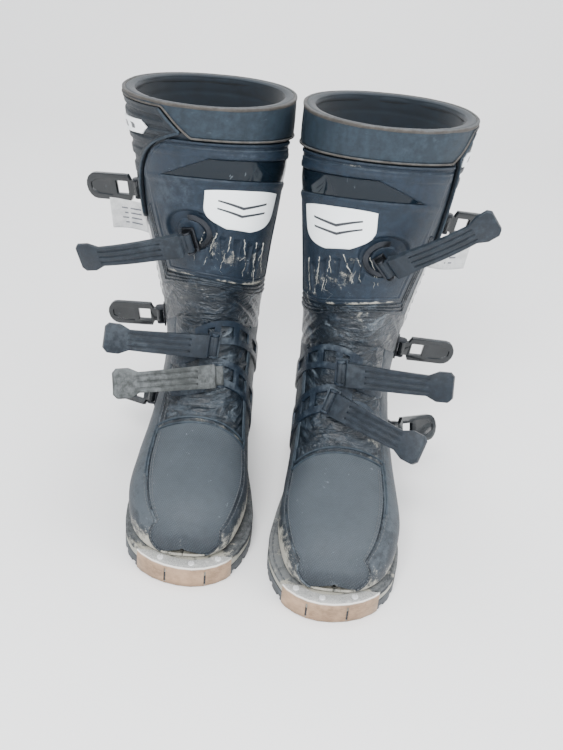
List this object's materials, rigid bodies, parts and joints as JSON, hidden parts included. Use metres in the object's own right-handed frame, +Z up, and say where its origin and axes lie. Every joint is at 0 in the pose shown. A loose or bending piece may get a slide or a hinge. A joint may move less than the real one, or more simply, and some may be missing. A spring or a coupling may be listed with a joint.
{
  "type": "riding boots",
  "caption": "Pair of worn off-road riding boots with moulded shin plates, ladder straps, buckle levers, flexing ankles and steel toe plates.",
  "frame": {"origin": "middle of the pair's bounding box, on the ground", "axes": "+Z up, toes point to -Y, the wearer's right boot is at -X"},
  "size_m": [0.3768, 0.3332, 0.376],
  "materials": {
    "sole_rubber": "matte moulded rubber",
    "midsole_foam": "pale dusty rubber",
    "welt_rubber": "matte rubber with stitch line",
    "worn_steel": "worn steel with brown tint",
    "lining": "woven lining",
    "blue_grey_leather": "dusty coated leather",
    "dark_leather": "creased leather",
    "moulded_plastic": "scuffed moulded plastic",
    "white_plastic": "satin white",
    "black_rubber": "ribbed rubber",
    "white_fabric": "woven label",
    "dark_metal": "black painted steel",
    "strap_plastic": "semi-gloss moulded strap",
    "gloss_black": "gloss black",
    "bright_steel": "bright screws",
    "plain_steel": "plain steel"
  },
  "bodies": {
    "feet": {"right_outsole": "sole_rubber", "right_midsole": "midsole_foam", "right_welt": "welt_rubber", "right_toe_plate": "worn_steel", "right_insole": "lining", "right_vamp": "blue_grey_leather", "right_instep_panel": "dark_leather", "right_quarter_outer": "dark_leather", "right_quarter_inner": "dark_leather", "right_heel_counter": "moulded_plastic", "right_ankle_gaiter": "dark_leather", "right_ladder_straps": "moulded_plastic", "right_buckle_bases": "dark_metal", "left_outsole": "sole_rubber", "left_midsole": "midsole_foam", "left_welt": "welt_rubber", "left_toe_plate": "worn_steel", "left_insole": "lining", "left_vamp": "blue_grey_leather", "left_instep_panel": "dark_leather", "left_quarter_outer": "dark_leather", "left_quarter_inner": "dark_leather", "left_heel_counter": "moulded_plastic", "left_ankle_gaiter": "dark_leather", "left_ladder_straps": "moulded_plastic", "left_buckle_bases": "dark_metal", "toe_screws": "bright_steel", "steel_shanks": "plain_steel"},
    "right_shaft": {"right_liner": "lining", "right_shaft_leather": "dark_leather", "right_calf_panel": "dark_leather", "right_gusset": "dark_leather", "right_shin_plate": "moulded_plastic", "right_shin_badge": "white_plastic", "right_collar": "blue_grey_leather", "right_rib_panel": "black_rubber", "right_size_label": "white_fabric", "right_top_hardware": "dark_metal"},
    "right_strap_top": {"right_strap_top": "strap_plastic"},
    "right_lever_top": {"right_lever_top": "gloss_black"},
    "right_strap_mid": {"right_strap_mid": "strap_plastic"},
    "right_lever_mid": {"right_lever_mid": "gloss_black"},
    "right_strap_low": {"right_strap_low": "strap_plastic"},
    "right_lever_low": {"right_lever_low": "gloss_black"},
    "left_shaft": {"left_liner": "lining", "left_shaft_leather": "dark_leather", "left_calf_panel": "dark_leather", "left_gusset": "dark_leather", "left_shin_plate": "moulded_plastic", "left_shin_badge": "white_plastic", "left_collar": "blue_grey_leather", "left_rib_panel": "black_rubber", "left_size_label": "white_fabric", "left_top_hardware": "dark_metal"},
    "left_strap_top": {"left_strap_top": "strap_plastic"},
    "left_lever_top": {"left_lever_top": "gloss_black"},
    "left_strap_mid": {"left_strap_mid": "strap_plastic"},
    "left_lever_mid": {"left_lever_mid": "gloss_black"},
    "left_strap_low": {"left_strap_low": "strap_plastic"},
    "left_lever_low": {"left_lever_low": "gloss_black"}
  },
  "joints": [
    {"name": "right_ankle_flex", "type": "hinge", "parent": "feet", "child": "right_shaft", "pos_m": [-0.06395, 0.07762, 0.14], "axis": [1, 0, 0], "range_deg": [-5, 15], "stiffness_Nm_per_rad": 18, "deforming": ["right_ankle_gaiter"]},
    {"name": "right_strap_top_hinge", "type": "hinge", "parent": "right_shaft", "child": "right_strap_top", "pos_m": [-0.08203, -0.00455, 0.25568], "axis": [-0.271, -0.1323, 0.9534], "range_deg": [-24, 40]},
    {"name": "right_lever_top_hinge", "type": "hinge", "parent": "right_shaft", "child": "right_lever_top", "pos_m": [-0.1388, 0.07524, 0.26881], "axis": [-0.149, -0.027, 0.9885], "range_deg": [-64, 30]},
    {"name": "right_strap_mid_hinge", "type": "hinge", "parent": "feet", "child": "right_strap_mid", "pos_m": [-0.05611, -0.00338, 0.15768], "axis": [0.0689, 0.2999, 0.9515], "range_deg": [-30, 36]},
    {"name": "right_lever_mid_hinge", "type": "hinge", "parent": "feet", "child": "right_lever_mid", "pos_m": [-0.11875, 0.09339, 0.1324], "axis": [-0.1022, -0.1104, 0.9886], "range_deg": [-66, 30]},
    {"name": "right_strap_low_hinge", "type": "hinge", "parent": "feet", "child": "right_strap_low", "pos_m": [-0.04913, -0.01178, 0.13286], "axis": [-0.1313, 0.4366, 0.89], "range_deg": [-30, 36]},
    {"name": "right_lever_low_hinge", "type": "hinge", "parent": "feet", "child": "right_lever_low", "pos_m": [-0.11547, 0.03138, 0.07893], "axis": [0.0875, 0.4154, 0.9054], "range_deg": [-46, 30]},
    {"name": "left_ankle_flex", "type": "hinge", "parent": "feet", "child": "left_shaft", "pos_m": [0.06405, 0.05162, 0.14], "axis": [1, 0, 0], "range_deg": [-5, 15], "stiffness_Nm_per_rad": 18, "deforming": ["left_ankle_gaiter"]},
    {"name": "left_strap_top_hinge", "type": "hinge", "parent": "left_shaft", "child": "left_strap_top", "pos_m": [0.08228, -0.02335, 0.25651], "axis": [0.5729, 0.2186, -0.7899], "range_deg": [-24, 40]},
    {"name": "left_lever_top_hinge", "type": "hinge", "parent": "left_shaft", "child": "left_lever_top", "pos_m": [0.13889, 0.05914, 0.2688], "axis": [-0.149, -0.0158, -0.9887], "range_deg": [-64, 30]},
    {"name": "left_strap_mid_hinge", "type": "hinge", "parent": "feet", "child": "left_strap_mid", "pos_m": [0.0562, -0.02938, 0.15768], "axis": [0.0347, -0.2938, -0.9553], "range_deg": [-30, 36]},
    {"name": "left_lever_mid_hinge", "type": "hinge", "parent": "feet", "child": "left_lever_mid", "pos_m": [0.11885, 0.07123, 0.13244], "axis": [-0.1026, 0.0615, -0.9928], "range_deg": [-66, 30]},
    {"name": "left_strap_low_hinge", "type": "hinge", "parent": "feet", "child": "left_strap_low", "pos_m": [0.04922, -0.03778, 0.13286], "axis": [-0.3083, -0.3636, -0.8791], "range_deg": [-34, 34]},
    {"name": "left_lever_low_hinge", "type": "hinge", "parent": "feet", "child": "left_lever_low", "pos_m": [0.11556, 0.00538, 0.07893], "axis": [0.0875, -0.4154, -0.9054], "range_deg": [-46, 30]}
  ]
}
